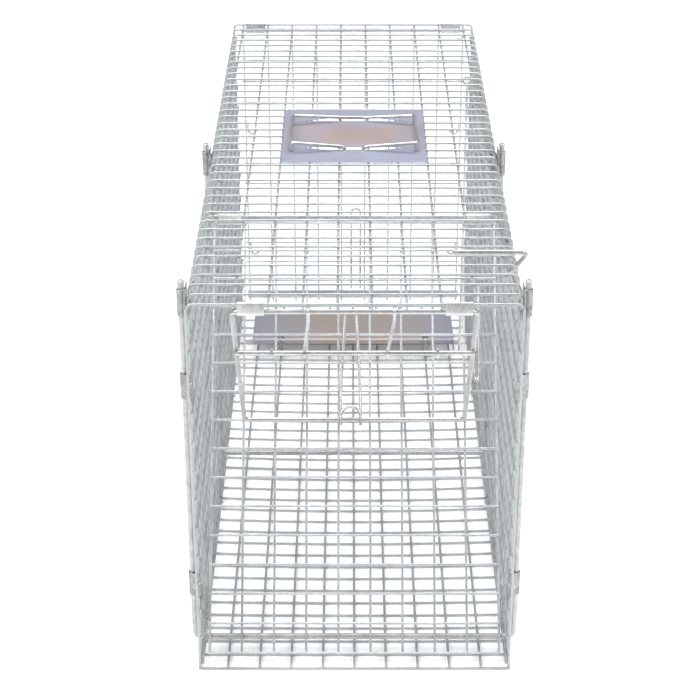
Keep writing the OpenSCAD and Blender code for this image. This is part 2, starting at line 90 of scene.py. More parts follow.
def make_studio():
    """Wide white floor that glows faintly, dim surroundings, and three large soft lights."""
    scene.view_settings.view_transform = "Standard"
    world = bpy.data.worlds.new("studio")
    world.use_nodes = True
    background = world.node_tree.nodes["Background"]
    background.inputs["Color"].default_value = (0.9, 0.95, 1, 1)
    background.inputs["Strength"].default_value = 0.3
    scene.world = world

    floor_mesh = bpy.data.meshes.new("floor")
    half = 15.0
    floor_mesh.from_pydata([(-half, -half, 0), (half, -half, 0), (half, half, 0), (-half, half, 0)], [],
                           [(0, 1, 2, 3)])
    floor = bpy.data.objects.new("floor", floor_mesh)
    floor.location.z = -0.4 * MM
    scene.collection.objects.link(floor)
    material = bpy.data.materials.new("pale_floor")
    material.use_nodes = True
    shader = material.node_tree.nodes["Principled BSDF"]
    shader.inputs["Base Color"].default_value = (0.95, 0.95, 0.95, 1)
    shader.inputs["Roughness"].default_value = 0.9
    shader.inputs["Specular IOR Level"].default_value = 0.1
    shader.inputs["Emission Color"].default_value = (1, 1, 1, 1)
    shader.inputs["Emission Strength"].default_value = 0.15
    floor_mesh.materials.append(material)

    area_light("key", (-1.5, -1.2, 2.6), (0, 0, 0.1), 1.6, 62)
    area_light("fill", (1.9, -0.8, 2.2), (0, 0, 0.1), 1.6, 40)
    area_light("top", (0.2, 1.0, 2.8), (0, 0.2, 0.0), 2.0, 62)


make_camera()
make_studio()


# ---------------------------------------------------------------- materials

def math_node(tree, operation, *values):
    """Adds a Math node whose inputs are numbers or other nodes' outputs, and returns its output."""
    node = tree.nodes.new("ShaderNodeMath")
    node.operation = operation
    for socket, value in zip(node.inputs, values):
        if isinstance(value, (int, float)):
            socket.default_value = value
        else:
            tree.links.new(value, socket)
    return node.outputs["Value"]


def noise_node(tree, coord, size_mm, detail):
    """Adds a noise texture whose features are about size_mm wide, and returns its strength."""
    node = tree.nodes.new("ShaderNodeTexNoise")
    node.inputs["Scale"].default_value = 1 / (size_mm * MM)
    node.inputs["Detail"].default_value = detail
    tree.links.new(coord, node.inputs["Vector"])
    return node.outputs["Fac"]


def map_range(tree, value, **ends):
    """Adds a Map Range node with the given ends, and returns its result."""
    node = tree.nodes.new("ShaderNodeMapRange")
    for socket, end in ends.items():
        node.inputs[socket.replace("_", " ").title()].default_value = end
    tree.links.new(value, node.inputs["Value"])
    return node.outputs["Result"]


def colour_ramp(tree, value, first, last):
    """Adds a ramp between two colours, and returns its colour."""
    node = tree.nodes.new("ShaderNodeValToRGB")
    node.color_ramp.elements[0].color = (*first, 1)
    node.color_ramp.elements[1].color = (*last, 1)
    tree.links.new(value, node.inputs["Fac"])
    return node.outputs["Color"]


def metal(name, dark, light, rough, mottle_mm=2.5, spangle_mm=9.0, bump=0.12, metallic=0.85,
          spangle_share=0.12):
    """Zinc-coated steel: mottled between two greys, with crystal spangle, patchy gloss and fine bumps.
    Lengths are the sizes of the mottling and of the zinc crystals."""
    material = bpy.data.materials.new(name)
    material.use_nodes = True
    tree = material.node_tree
    nodes, link = tree.nodes, tree.links.new
    shader = nodes["Principled BSDF"]
    shader.inputs["Metallic"].default_value = metallic
    coord = nodes.new("ShaderNodeTexCoord").outputs["Object"]
    fine, broad = noise_node(tree, coord, mottle_mm, 3), noise_node(tree, coord, mottle_mm * 16, 2)
    spangle = nodes.new("ShaderNodeTexVoronoi")
    spangle.inputs["Scale"].default_value = 1 / (spangle_mm * MM)
    link(coord, spangle.inputs["Vector"])
    crystal = nodes.new("ShaderNodeSeparateColor")
    link(spangle.outputs["Color"], crystal.inputs["Color"])
    both = math_node(tree, "ADD", fine, broad)
    shade = math_node(tree, "MULTIPLY_ADD", crystal.outputs["Red"], spangle_share, both)
    share = map_range(tree, shade, from_min=0.75, from_max=1.25 + spangle_share)
    link(colour_ramp(tree, share, dark, light), shader.inputs["Base Color"])
    link(map_range(tree, broad, to_min=rough - 0.1, to_max=rough + 0.12), shader.inputs["Roughness"])
    height = nodes.new("ShaderNodeBump")
    height.inputs["Strength"].default_value = bump
    height.inputs["Distance"].default_value = 0.2 * MM
    link(fine, height.inputs["Height"])
    link(height.outputs["Normal"], shader.inputs["Normal"])
    return material


def passivated(name, spread, band, edge, rough=0.46):
    """Passivated zinc sheet: a brownish patch that runs out into bluish purple.
    spread gives the patch's centre and half-width along each axis that bounds it, in metres."""
    material = metal(name, edge, edge, rough, mottle_mm=4, spangle_mm=14, bump=0.08, metallic=0.6)
    tree = material.node_tree
    coord = tree.nodes.new("ShaderNodeTexCoord").outputs["Object"]
    split = tree.nodes.new("ShaderNodeSeparateXYZ")
    tree.links.new(coord, split.inputs["Vector"])
    shares = []
    for axis, (middle, half) in spread.items():
        away = math_node(tree, "ABSOLUTE", math_node(tree, "SUBTRACT", split.outputs[axis], middle))
        shares.append(math_node(tree, "DIVIDE", away, half))
    share = shares[0] if len(shares) == 1 else math_node(tree, "MAXIMUM", *shares)
    cloud = math_node(tree, "MULTIPLY", noise_node(tree, coord, 28, 4), 0.9)
    fade = map_range(tree, math_node(tree, "ADD", share, cloud), from_min=0.75, from_max=1.5)
    tree.links.new(colour_ramp(tree, fade, band, edge), tree.nodes["Principled BSDF"].inputs["Base Color"])
    return material


PLATE_LOW, PLATE_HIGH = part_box("hand_plate")
TREADLE_LOW, TREADLE_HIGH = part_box("treadle_plate")
MATERIALS = {
    "cage_mesh": metal("dull_zinc_wire", (0.41, 0.43, 0.44), (0.54, 0.565, 0.57), 0.42, bump=0.05,
                       metallic=0.7, spangle_share=0.04),
    "panel_mesh": metal("bright_zinc_wire", (0.50, 0.515, 0.53), (0.72, 0.74, 0.76), 0.36, bump=0.08,
                        metallic=0.75, spangle_share=0.08),
    "stiffening_rod": metal("dull_zinc_rod", (0.38, 0.38, 0.38), (0.60, 0.60, 0.60), 0.42, 3.5, bump=0.08),
    "rod_steel": metal("zinc_rod", (0.44, 0.435, 0.43), (0.68, 0.675, 0.67), 0.36, 3.0, bump=0.08),
    "bright_wire": metal("polished_zinc_wire", (0.46, 0.46, 0.46), (0.76, 0.76, 0.76), 0.30, bump=0.08),
    "keeper_steel": metal("keeper_zinc", (0.20, 0.20, 0.20), (0.52, 0.52, 0.52), 0.46, 3.0, 7.0, 0.2,
                          spangle_share=0.3),
    "sleeve_sheet": metal("sleeve_zinc", (0.46, 0.46, 0.45), (0.84, 0.84, 0.82), 0.32, 2.0, 6.0,
                          metallic=0.7, spangle_share=0.3),
    "rail_sheet": metal("rail_zinc", (0.48, 0.50, 0.52), (0.72, 0.74, 0.76), 0.40, 5.0, 12.0,
                        spangle_share=0.3),
    "hand_plate": passivated("hand_plate_zinc",
                             {"X": (0.0, PLATE_HIGH.x * 1.15),
                              "Y": ((PLATE_LOW.y + PLATE_HIGH.y) / 2, (PLATE_HIGH.y - PLATE_LOW.y) / 3.4)},
                             (0.41, 0.32, 0.30), (0.345, 0.355, 0.45)),
    "treadle_sheet": passivated("treadle_zinc", {"X": (0.0, (TREADLE_HIGH.x - TREADLE_LOW.x) / 2.2)},
                                (0.43, 0.365, 0.33), (0.37, 0.375, 0.44)),
}


# ---------------------------------------------------------------- shapes

def finish_piece(name, bm, body, slot, nodes, smooth_deg=40):
    """Turns a bmesh into a named piece that rides on a body and stands for its CAD nodes."""
    bmesh.ops.recalc_face_normals(bm, faces=bm.faces)
    mesh = bpy.data.meshes.new(name)
    bm.to_mesh(mesh)
    bm.free()
    piece = bpy.data.objects.new(name, mesh)
    scene.collection.objects.link(piece)
    mesh.shade_smooth()
    mesh.set_sharp_from_angle(angle=math.radians(smooth_deg))
    mesh.materials.append(MATERIALS[slot])
    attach(piece, body)
    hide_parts(*nodes)


def tube(bm, points, radius, sides=12, closed=False, round_end=0.35):
    """Adds a round wire along points. Open wires get ends that are slightly rounded off."""
    points = [Vector(p) for p in points]
    count = len(points)
    tangents = []
    for i in range(count):
        before = points[i - 1] if closed or i else points[i]
        after = points[(i + 1) % count] if closed or i < count - 1 else points[i]
        tangents.append((after - before).normalized())
    side = tangents[0].orthogonal().normalized()
    rings = []

    def ring(centre, across, tangent, r):
        up = tangent.cross(across)
        turns = [2 * math.pi * k / sides for k in range(sides)]
        return [bm.verts.new(centre + r * (math.cos(t) * across + math.sin(t) * up)) for t in turns]

    for i in range(count):
        side = (side - tangents[i] * side.dot(tangents[i])).normalized()
        if not closed and i in (0, count - 1):
            sign = 1 if i == 0 else -1
            inset = round_end * radius
            inner = ring(points[i] + sign * tangents[i] * inset, side, tangents[i], radius)
            outer = ring(points[i], side, tangents[i], radius - inset)
            rings += [outer, inner] if i == 0 else [inner, outer]
        else:
            rings.append(ring(points[i], side, tangents[i], radius))
    pairs = list(zip(rings, rings[1:]))
    if closed:
        start = best_shift(rings[-1], rings[0])
        pairs.append((rings[-1], rings[0][start:] + rings[0][:start]))
    else:
        bm.faces.new(list(reversed(rings[0])))
        bm.faces.new(rings[-1])
    for low, high in pairs:
        for k in range(sides):
            bm.faces.new((low[k], low[(k + 1) % sides], high[(k + 1) % sides], high[k]))


def best_shift(last, first):
    """The turn of the first ring that lines up best with the last one."""
    count = len(last)
    return min(range(count), key=lambda s: (first[s].co - last[0].co).length)


def arc(centre, axis_a, axis_b, radius, start_deg, end_deg, steps=14):
    """Points round part of a circle."""
    turns = [math.radians(start_deg + (end_deg - start_deg) * k / steps) for k in range(steps + 1)]
    return [centre + radius * (math.cos(t) * axis_a + math.sin(t) * axis_b) for t in turns]


def ring_arc(bm, centre, axis_a, axis_b, ring_r, wire_r, start_deg, end_deg, steps=20):
    """Adds a wire bent round part of a circle."""
    tube(bm, arc(centre, axis_a, axis_b, ring_r, start_deg, end_deg, steps), wire_r, 10)


def filleted(points, radius, steps=6, closed=False):
    """The path through points, with each corner rounded to radius."""
    points = [Vector(p) for p in points]
    count = len(points)
    path = []
    for i in range(count):
        if not closed and i in (0, count - 1):
            path.append(points[i])
            continue
        before, here, after = points[i - 1], points[i], points[(i + 1) % count]
        back, ahead = (before - here), (after - here)
        turn = math.pi - back.angle(ahead)
        if turn < 0.02:
            path.append(here)
            continue
        reach = min(radius * math.tan(turn / 2), 0.49 * back.length, 0.49 * ahead.length)
        back.normalize()
        ahead.normalize()
        r = reach / math.tan(turn / 2)
        centre = here + (back + ahead).normalized() * (r / math.cos(turn / 2))
        start = here + back * reach - centre
        axis = back.cross(ahead).normalized()
        for k in range(steps + 1):
            path.append(centre + Matrix.Rotation(-turn * k / steps, 3, axis) @ start)
    return path


def wavy(a, b, step=17 * MM, sway=0.22 * MM, seed=0.0):
    """Points from a to b that wander slightly, as a drawn mesh wire does. The ends stay in place."""
    a, b = Vector(a), Vector(b)
    along = (b - a).normalized()
    count = max(2, round((b - a).length / step))
    waves_per_metre = 9
    path = []
    for i in range(count + 1):
        share = i / count
        hold = min(1, 6 * share, 6 * (1 - share))
        place = a.lerp(b, share)
        drift = noise.noise_vector(place * waves_per_metre + Vector((seed, 2 * seed, 3.7)))
        drift -= along * drift.dot(along)
        path.append(place + drift * sway * hold)
    return path


def solids(node):
    """The vertices of each separate solid of a CAD node, as arrays, in order along the row."""
    bm = bmesh.new()
    bm.from_mesh(frame["nodes"][node].data)
    bmesh.ops.remove_doubles(bm, verts=bm.verts, dist=1e-6)
    left = set(bm.verts)
    found = []
    while left:
        stack = [left.pop()]
        island = []
        while stack:
            v = stack.pop()
            island.append(tuple(v.co))
            for e in v.link_edges:
                other = e.other_vert(v)
                if other in left:
                    left.remove(other)
                    stack.append(other)
        found.append(np.array(island))
    bm.free()
    return sorted(found, key=lambda p: tuple(np.round(p.mean(0), 5)))


def box_of(points):
    """The lowest and highest corner of a solid."""
    return Vector(points.min(0)), Vector(points.max(0))


def wire_ends(points):
    """The two ends of a straight wire's middle line."""
    centre = (points.min(0) + points.max(0)) / 2
    along = np.linalg.svd(points - points.mean(0), full_matrices=False)[2][0]
    along *= np.sign(along[np.argmax(np.abs(along))])
    t = (points - centre) @ along
    return Vector(centre + along * t.min()), Vector(centre + along * t.max())


def extent(node, origin, axis):
    """The lowest and highest reach of a CAD node along an axis from an origin."""
    co = np.array([v.co for v in frame["nodes"][node].data.vertices])
    reach = (co - np.array(origin)) @ np.array(axis)
    return float(reach.min()), float(reach.max())


def straight_wires(name, node, body, slot, radius, sway=0.22 * MM):
    """One piece of slightly wavy round wires in the places of a CAD node's straight wires."""
    bm = bmesh.new()
    for i, points in enumerate(solids(node)):
        a, b = wire_ends(points)
        tube(bm, wavy(a, b, sway=sway, seed=1.3 * i), radius, 10)
    finish_piece(name, bm, body, slot, (node,))


# ---------------------------------------------------------------- cage mesh

WIRE_R = (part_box("roof_cross_wires")[1].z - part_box("roof_cross_wires")[0].z) / 2
# Wires that are welded where they cross are 0.05 mm apart in CAD, and meet when they are this thick.
SHOW_R = WIRE_R + 0.03 * MM
# The hoops, the wires of the walls and the floor's cross wires wander less than the others.
SMALL_SWAY = 0.1 * MM


def cage_hoops():
    """Each hoop is one wire: up the left wall, over the roof and down the right wall."""
    low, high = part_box("right_wall_upright_wires")
    side_x = high.x - WIRE_R
    bend = side_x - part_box("roof_cross_wires")[1].x
    top_z = CAGE_HIGH.z - WIRE_R
    bm = bmesh.new()
    for i, points in enumerate(solids("roof_cross_wires")):
        y = (points[:, 1].min() + points[:, 1].max()) / 2
        corners = [Vector((-side_x, y, low.z)), Vector((-side_x, y, top_z)),
                   Vector((side_x, y, top_z)), Vector((side_x, y, low.z))]
        bends = filleted(corners, bend, 8)
        path = []
        for a, b in zip(bends, bends[1:]):
            straight = (b - a).length > 3 * bend
            path += wavy(a, b, sway=SMALL_SWAY, seed=2.1 * i)[:-1] if straight else [a]
        tube(bm, path + [bends[-1]], SHOW_R, 10)
    nodes = ("roof_cross_wires", "left_wall_upright_wires", "right_wall_upright_wires", "corner_bends")
    finish_piece("cage_hoops", bm, "cage", "cage_mesh", nodes)


def floor_cross_wires():
    """Cross wires of the floor, which bow towards the front in the middle, least at the panel's ends."""
    low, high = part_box("floor_cross_wires")
    bow = 5 * MM
    bm = bmesh.new()
    for i, points in enumerate(solids("floor_cross_wires")):
        a, b = wire_ends(points)
        depth = (a.y - low.y) / (high.y - low.y)
        reach = bow * math.sin(math.pi * depth)
        path = wavy(a, b, sway=SMALL_SWAY, seed=1.3 * i)
        tube(bm, [p - Y * reach * (1 - (p.x / high.x) ** 2) for p in path], WIRE_R, 10)
    finish_piece("floor_crosswise_wires", bm, "cage", "cage_mesh", ("floor_cross_wires",))


def floor_rings():
    """Open rings crimped round the floor's edge wires and the lowest wall wires."""
    ring_low, ring_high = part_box("floor_rings")
    half_turn_deg = 150
    bm = bmesh.new()
    for points in solids("floor_rings"):
        low, high = box_of(points)
        wire_r = (high.y - low.y) / 2
        side = 1 if low.x > 0 else -1
        z = low.z + (ring_high.z - low.z) / 2
        ring_r = (ring_high.z - ring_low.z) / 2 - wire_r
        outer_x = max(abs(low.x), abs(high.x))
        centre = Vector((side * (outer_x - ring_r - wire_r), (low.y + high.y) / 2, z))
        ring_arc(bm, centre, X * side, Z, ring_r, wire_r, -half_turn_deg, half_turn_deg)
    finish_piece("floor_tie_rings", bm, "cage", "keeper_steel", ("floor_rings",))


cage_hoops()
straight_wires("roof_lengthwise_wires", "roof_long_wires", "cage", "cage_mesh", SHOW_R)
for wall in ("left_wall", "right_wall"):
    straight_wires(f"{wall}_lengthwise_wires", f"{wall}_long_wires", "cage", "cage_mesh", SHOW_R, SMALL_SWAY)
floor_cross_wires()
straight_wires("floor_lengthwise_wires", "floor_long_wires", "cage", "cage_mesh", SHOW_R)
floor_rings()


# ---------------------------------------------------------------- rods, keepers and sleeves

LOCK_PIVOT = Vector(JOINTS["lock_frame_hinge"]["pos_m"])
REAR_PIVOT = Vector(JOINTS["rear_panel_hinge"]["pos_m"])
DOOR_PIVOT = Vector(JOINTS["door_hinge"]["pos_m"])
HOOP_Z = CAGE_HIGH.z - WIRE_R
FRAME_R = (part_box("rear_top_rod")[1].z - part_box("rear_top_rod")[0].z) / 2
# Straps and sleeves stand this far off the bars that they are rolled round.
GRIP = 0.1 * MM


def u_rod(name, node):
    """A rod bent into a U, whose crossbar runs through the cage and whose legs stand beside it."""
    low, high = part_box(node)
    r = (high.y - low.y) / 2
    y, leg_x, bar_z = (low.y + high.y) / 2, high.x - r, low.z + r
    corners = [(-leg_x, y, high.z), (-leg_x, y, bar_z), (leg_x, y, bar_z), (leg_x, y, high.z)]
    bm = bmesh.new()
    tube(bm, filleted(corners, 2.4 * r, 8), r, 18)
    finish_piece(name, bm, "cage", "stiffening_rod", (node,))


def sheet_profile(name, outlines, body, slot, nodes, thick):
    """Strips of sheet that follow a profile: each outline is (points, start, end), where the points are
    the middle line of the sheet and start and end are offsets along the strip's length."""
    bm = bmesh.new()
    for outline in outlines:
        sheet_strip(bm, *outline, thick)
    finish_piece(name, bm, body, slot, nodes)


def sheet_strip(bm, path, start, end, thick, bevel=0.28 * MM):
    """Adds one strip of sheet with softened edges."""
    across = (end - start).normalized()
    lead = across * bevel
    count = len(path)
    sections = []
    for i, p in enumerate(path):
        before, after = path[max(i - 1, 0)], path[min(i + 1, count - 1)]
        along = (Vector(after) - Vector(before)).normalized()
        out = along.cross(across).normalized()
        half = out * thick / 2
        inset = out * bevel
        corners = [half - inset + start, half + start + lead, half + end - lead, half - inset + end,
                   -half + inset + end, -half + end - lead, -half + start + lead, -half + inset + start]
        sections.append([bm.verts.new(Vector(p) + c) for c in corners])
    for a, b in zip(sections, sections[1:]):
        for k in range(8):
            bm.faces.new((a[k], a[(k + 1) % 8], b[(k + 1) % 8], b[k]))
    bm.faces.new(list(reversed(sections[0])))
    bm.faces.new(sections[-1])


def rod_keepers(name, node, rod_node):
    """Rolled straps round each leg and a hoop, and at the top an eye with a tab on the hoops."""
    rod_low, rod_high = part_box(rod_node)
    rod_r = (rod_high.y - rod_low.y) / 2
    leg_x, rod_y = rod_high.x - rod_r, (rod_low.y + rod_high.y) / 2
    hoop_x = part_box("right_wall_upright_wires")[1].x - WIRE_R
    thick = 1 * MM
    eye_r = rod_r + GRIP + thick / 2
    longest_strap = 20 * MM
    lap_deg = 8
    tab_start = 1.4 * eye_r
    outlines = []
    for points in solids(node):
        low, high = box_of(points)
        side = 1 if low.x > 0 else -1
        leg = Vector((side * leg_x, rod_y, 0))
        if high.y - low.y < longest_strap:
            hoop = Vector((side * hoop_x, low.y + thick + GRIP + WIRE_R, 0))
            path = strap_path(leg, eye_r, hoop, WIRE_R + GRIP + thick / 2, X, Y)
        else:
            tab_x = min(abs(low.x), abs(high.x)) + 0.6 * thick
            near = math.degrees(math.acos((tab_x - leg_x) / eye_r)) - lap_deg
            path = [Vector((side * tab_x, low.y, 0)), Vector((side * tab_x, rod_y - tab_start, 0))]
            path += arc(leg, X * side, Y, eye_r, -near, near, 18)
            path += [Vector((side * tab_x, rod_y + tab_start, 0)), Vector((side * tab_x, high.y, 0))]
        outlines.append((path, Z * low.z, Z * high.z))
    sheet_profile(name, outlines, "cage", "keeper_steel", (node,), thick)


def strap_path(p, rp, q, rq, axis_a, axis_b):
    """Middle line of a strap rolled round two bars, which starts and ends on the first one."""
    p, q = Vector(p), Vector(q)
    v = q - p
    turn = math.degrees(math.atan2(v.dot(axis_b), v.dot(axis_a)))
    side = math.degrees(math.acos((rp - rq) / v.length))
    first = arc(p, axis_a, axis_b, rp, turn - 180, turn - side, 12)
    far = arc(q, axis_a, axis_b, rq, turn - side, turn + side, 12)
    last = arc(p, axis_a, axis_b, rp, turn + side, turn + 180, 12)
    return first + far + last


def sleeves(name, node, body, bar_a, ra, bar_b, rb, axis_a, axis_b, slot="sleeve_sheet", thick=1 * MM):
    """Rolled sleeves in the places of a CAD node's solids, round two bars that run along one axis."""
    length_axis = axis_a.cross(axis_b)
    outlines = []
    for points in solids(node):
        reach = points @ np.array(length_axis)
        path = strap_path(bar_a, ra + thick / 2, bar_b, rb + thick / 2, axis_a, axis_b)
        outlines.append((path, length_axis * float(reach.min()), length_axis * float(reach.max())))
    sheet_profile(name, outlines, body, slot, (node,), thick)


def hoop_sleeves(name, node, pivot):
    """Sleeves that roll round a pivot rod and the end hoop above it."""
    sleeves(name, node, "cage", (0, pivot.y, pivot.z), FRAME_R + GRIP,
            (0, pivot.y, HOOP_Z), WIRE_R + GRIP, Y, Z)


def round_rod(name, node, body):
    """A straight rod with slightly rounded ends in the place of a CAD rod."""
    bm = bmesh.new()
    for points in solids(node):
        a, b = wire_ends(points)
        along = (b - a).normalized()
        off = points - np.array(a)
        off = off - np.outer(off @ np.array(along), np.array(along))
        tube(bm, [a, a.lerp(b, 0.5), b], float(np.linalg.norm(off, axis=1).max()), 18)
    finish_piece(name, bm, body, "rod_steel", (node,))


u_rod("front_stiffening_rod", "front_u_rod")
u_rod("middle_stiffening_rod", "mid_u_rod")
rod_keepers("front_rod_keepers", "front_rod_clamps", "front_u_rod")
rod_keepers("middle_rod_keepers", "mid_rod_clamps", "mid_u_rod")
hoop_sleeves("lock_frame_rolled_sleeves", "lock_frame_sleeves", LOCK_PIVOT)
hoop_sleeves("rear_panel_rolled_sleeves", "rear_sleeves", REAR_PIVOT)
round_rod("door_hinge_bar", "door_hinge_rod", "cage")


# ---------------------------------------------------------------- handle

def hand_plate():
    """Sheet with two finger slots and softened edges."""
    low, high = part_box("hand_plate")
    bevel = 0.3 * (high.z - low.z)
    corner_rad = 0.6
    bm = bmesh.new()
    bm.from_mesh(frame["nodes"]["hand_plate"].data)
    bmesh.ops.remove_doubles(bm, verts=bm.verts, dist=1e-6)
    sharp = [e for e in bm.edges if len(e.link_faces) == 2 and e.calc_face_angle() > corner_rad]
    bmesh.ops.bevel(bm, geom=sharp, offset=bevel, segments=2, profile=0.5, affect="EDGES")
    finish_piece("hand_guard_plate", bm, "cage", "hand_plate", ("hand_plate",), smooth_deg=20)


def handle_wire():
    """Loop on four feet, whose long sides dip towards the slots, with its two ends turned down."""
    r, hook_x, dip, corner_ahead, foot_in = 1.5 * MM, 8 * MM, 5.5 * MM, 10 * MM, 1.2 * MM
    low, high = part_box("handle_wire")
    end_z, top_z, side_x = low.z + r, high.z - r, high.x - r
    front_y, dip_y = low.y + r, high.y - r
    back_y = dip_y - corner_ahead
    low_z = top_z - dip
    ends = [v.co for v in frame["nodes"]["handle_wire"].data.vertices if v.co.z < low.z + 1 * MM]
    hook_y = sum(co.y for co in ends) / len(ends)
    bm = bmesh.new()
    path = [(-hook_x, hook_y, end_z), (-hook_x, hook_y, low_z), (-side_x, front_y, top_z),
            (-side_x, back_y, top_z), (-hook_x, dip_y, low_z), (hook_x, dip_y, low_z),
            (side_x, back_y, top_z), (side_x, front_y, top_z), (hook_x, hook_y, low_z),
            (hook_x, hook_y, end_z)]
    tube(bm, filleted(path, 4 * MM, 7), r, 18)
    plate_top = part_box("hand_plate")[1].z
    for side in (-1, 1):
        for y in (front_y + foot_in, back_y - foot_in):
            place = Vector((side * (side_x - foot_in), y, 0))
            tube(bm, [place + Z * plate_top, place + Z * (top_z - 0.4 * r)], 0.8 * r, 14)
    finish_piece("carrying_handle", bm, "cage", "bright_wire", ("handle_wire",))


hand_plate()
handle_wire()


# ---------------------------------------------------------------- door

DOOR_WIRES = [wire_ends(p) for p in solids("door_long_wires")]
DOOR_DOWN = min((b - a for a, b in DOOR_WIRES), key=lambda v: v.z).normalized()
if DOOR_DOWN.z > 0:
    DOOR_DOWN = -DOOR_DOWN
DOOR_OUT = X.cross(DOOR_DOWN).normalized()
if DOOR_OUT.z < 0:
    DOOR_OUT = -DOOR_OUT
CATCH_R = 1.3 * MM


def door_point(x, along, off):
    """A place on the door: x across it, along its slope from the hinge down, and off its face."""
    return DOOR_PIVOT + X * x + DOOR_DOWN * along + DOOR_OUT * off


def door_extents(node):
    """The reach of a CAD node across the door, along its slope and off its face."""
    return (extent(node, (0, 0, 0), X), extent(node, DOOR_PIVOT, DOOR_DOWN),
            extent(node, DOOR_PIVOT, DOOR_OUT))


def door_sleeves():
    """Sleeves that roll round the hinge rod and grip the door's top wire."""
    top = max(solids("door_cross_wires"), key=lambda p: p[:, 2].mean())
    middle = (top.min(0) + top.max(0)) / 2
    bar_r = (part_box("door_hinge_rod")[1].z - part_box("door_hinge_rod")[0].z) / 2
    sleeves("door_rolled_sleeves", "door_sleeves", "door", Vector((0, *DOOR_PIVOT[1:])), bar_r + GRIP,
            Vector((0, *middle[1:])), WIRE_R + GRIP, Y, Z)


def door_catch():
    """Two wires that run down the door and then off it, joined by an arch above the lock bar."""
    top_half, knee_down, arch_up, bend = 4.7 * MM, 66 * MM, 8 * MM, 6 * MM
    (x_low, x_high), (s_low, s_high), (n_low, n_high) = door_extents("door_catch")
    mid, wide = (x_low + x_high) / 2, (x_high - x_low) / 2 - CATCH_R
    inner, outer = n_low + CATCH_R, n_high - CATCH_R
    knee, shoulder = s_low + knee_down, s_high - arch_up
    bm = bmesh.new()
    for side in (-1, 1):
        path = [door_point(mid + side * top_half, s_low, inner),
                door_point(mid + side * wide, knee, inner),
                door_point(mid + side * wide, shoulder, outer),
                door_point(mid + side * wide, s_high - 0.4 * CATCH_R, outer)]
        tube(bm, filleted(path, bend, 6), CATCH_R, 14)
    ring_arc(bm, door_point(mid, shoulder, outer), X, -DOOR_DOWN, wide, CATCH_R, 0, 180, 18)
    finish_piece("door_catch_wire", bm, "door", "bright_wire", ("door_catch",))


def side_hook():
    """Hooked wire on the right of the door: a long leg down the slope and a short one back up."""
    leg_up, turn_out, tip_in, tip_up, tip_along = 5 * MM, 0.8 * MM, 1.4 * MM, 4 * MM, 58 * MM
    (x_low, x_high), (s_low, s_high), (n_low, n_high) = door_extents("door_side_hook")
    off = (n_low + n_high) / 2
    leg_x, tip_x, turn = x_high - CATCH_R, x_low + CATCH_R, s_high - CATCH_R
    places = [(leg_x, s_low), (leg_x, turn - leg_up), ((leg_x + tip_x) / 2 + turn_out, turn),
              (tip_x + tip_in, turn - tip_up), (tip_x, s_low + tip_along)]
    bm = bmesh.new()
    tube(bm, filleted([door_point(x, along, off) for x, along in places], 3.5 * MM, 5), CATCH_R, 14)
    finish_piece("door_side_hook_wire", bm, "door", "bright_wire", ("door_side_hook",))


straight_wires("door_lengthwise_wires", "door_long_wires", "door", "panel_mesh", SHOW_R, 0.3 * MM)
straight_wires("door_crosswise_wires", "door_cross_wires", "door", "panel_mesh", SHOW_R, 0.35 * MM)
door_sleeves()
door_catch()
side_hook()


# ---------------------------------------------------------------- lock frame

LOCK_LOW, LOCK_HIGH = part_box("lock_frame")
LOCK_BAR = Vector((0, LOCK_HIGH.y - FRAME_R, LOCK_LOW.z + FRAME_R))
LOCK_LEG = LOCK_BAR - Vector((0, *LOCK_PIVOT[1:]))
LOCK_DOWN = LOCK_LEG.normalized()
LOCK_OUT = LOCK_DOWN.cross(X).normalized()
if LOCK_OUT.y > 0:
    LOCK_OUT = -LOCK_OUT


def lock_point(x, along, off=0.0):
    """A place on the lock frame: x across it, along its legs from the pivot down, and off its face."""
    return LOCK_PIVOT + X * x + LOCK_DOWN * along + LOCK_OUT * off


def lock_frame():
    """One rod bent into a rectangle, with small corner bends."""
    half, length = LOCK_HIGH.x - FRAME_R, LOCK_LEG.length
    corners = [lock_point(-half, 0), lock_point(half, 0), lock_point(half, length), lock_point(-half, length)]
    bm = bmesh.new()
    tube(bm, filleted(corners, 4.5 * MM, 6, True), FRAME_R, 16, True)
    finish_piece("lock_frame_rod", bm, "lock_frame", "rod_steel", ("lock_frame",))


def middle_x(points):
    """The middle of some points' reach along X."""
    return float((points[:, 0].min() + points[:, 0].max()) / 2)


def lock_hangers():
    """Two wires from the pivot rod to eyes on the cross rod, and two eyes on their own."""
    r, gap, bend = 1.25 * MM, 0.05 * MM, 5 * MM
    cross = solids("lock_frame_cross_rod")[0]
    centre = Vector((cross.min(0) + cross.max(0)) / 2)
    along = (centre - LOCK_PIVOT).dot(LOCK_DOWN)
    off = (centre - LOCK_PIVOT).dot(LOCK_OUT)
    ring_r = FRAME_R + r + gap
    long_wire_reach = 0.3 * along
    bm = bmesh.new()
    for points in solids("lock_frame_hangers"):
        reach = (points - np.array(LOCK_PIVOT)) @ np.array(LOCK_DOWN)
        x = middle_x(points[reach > along])
        ring_arc(bm, lock_point(x, along, off), LOCK_OUT, LOCK_DOWN, ring_r, r, -80, 250)
        if reach.min() < long_wire_reach:
            top_x = middle_x(points[reach < reach.min() + 2 * r])
            path = [lock_point(top_x, -0.2 * ring_r, ring_r), lock_point(top_x, 2 * ring_r, off),
                    lock_point(x, along - ring_r, off)]
            tube(bm, filleted(path, bend), r, 12)
            ring_arc(bm, lock_point(top_x, 0, 0), LOCK_OUT, LOCK_DOWN, ring_r, r, -200, 0)
    finish_piece("lock_frame_hanger_wires", bm, "lock_frame", "bright_wire", ("lock_frame_hangers",))


lock_frame()
round_rod("lock_frame_cross_bar", "lock_frame_cross_rod", "lock_frame")
lock_hangers()


# ---------------------------------------------------------------- rear panel

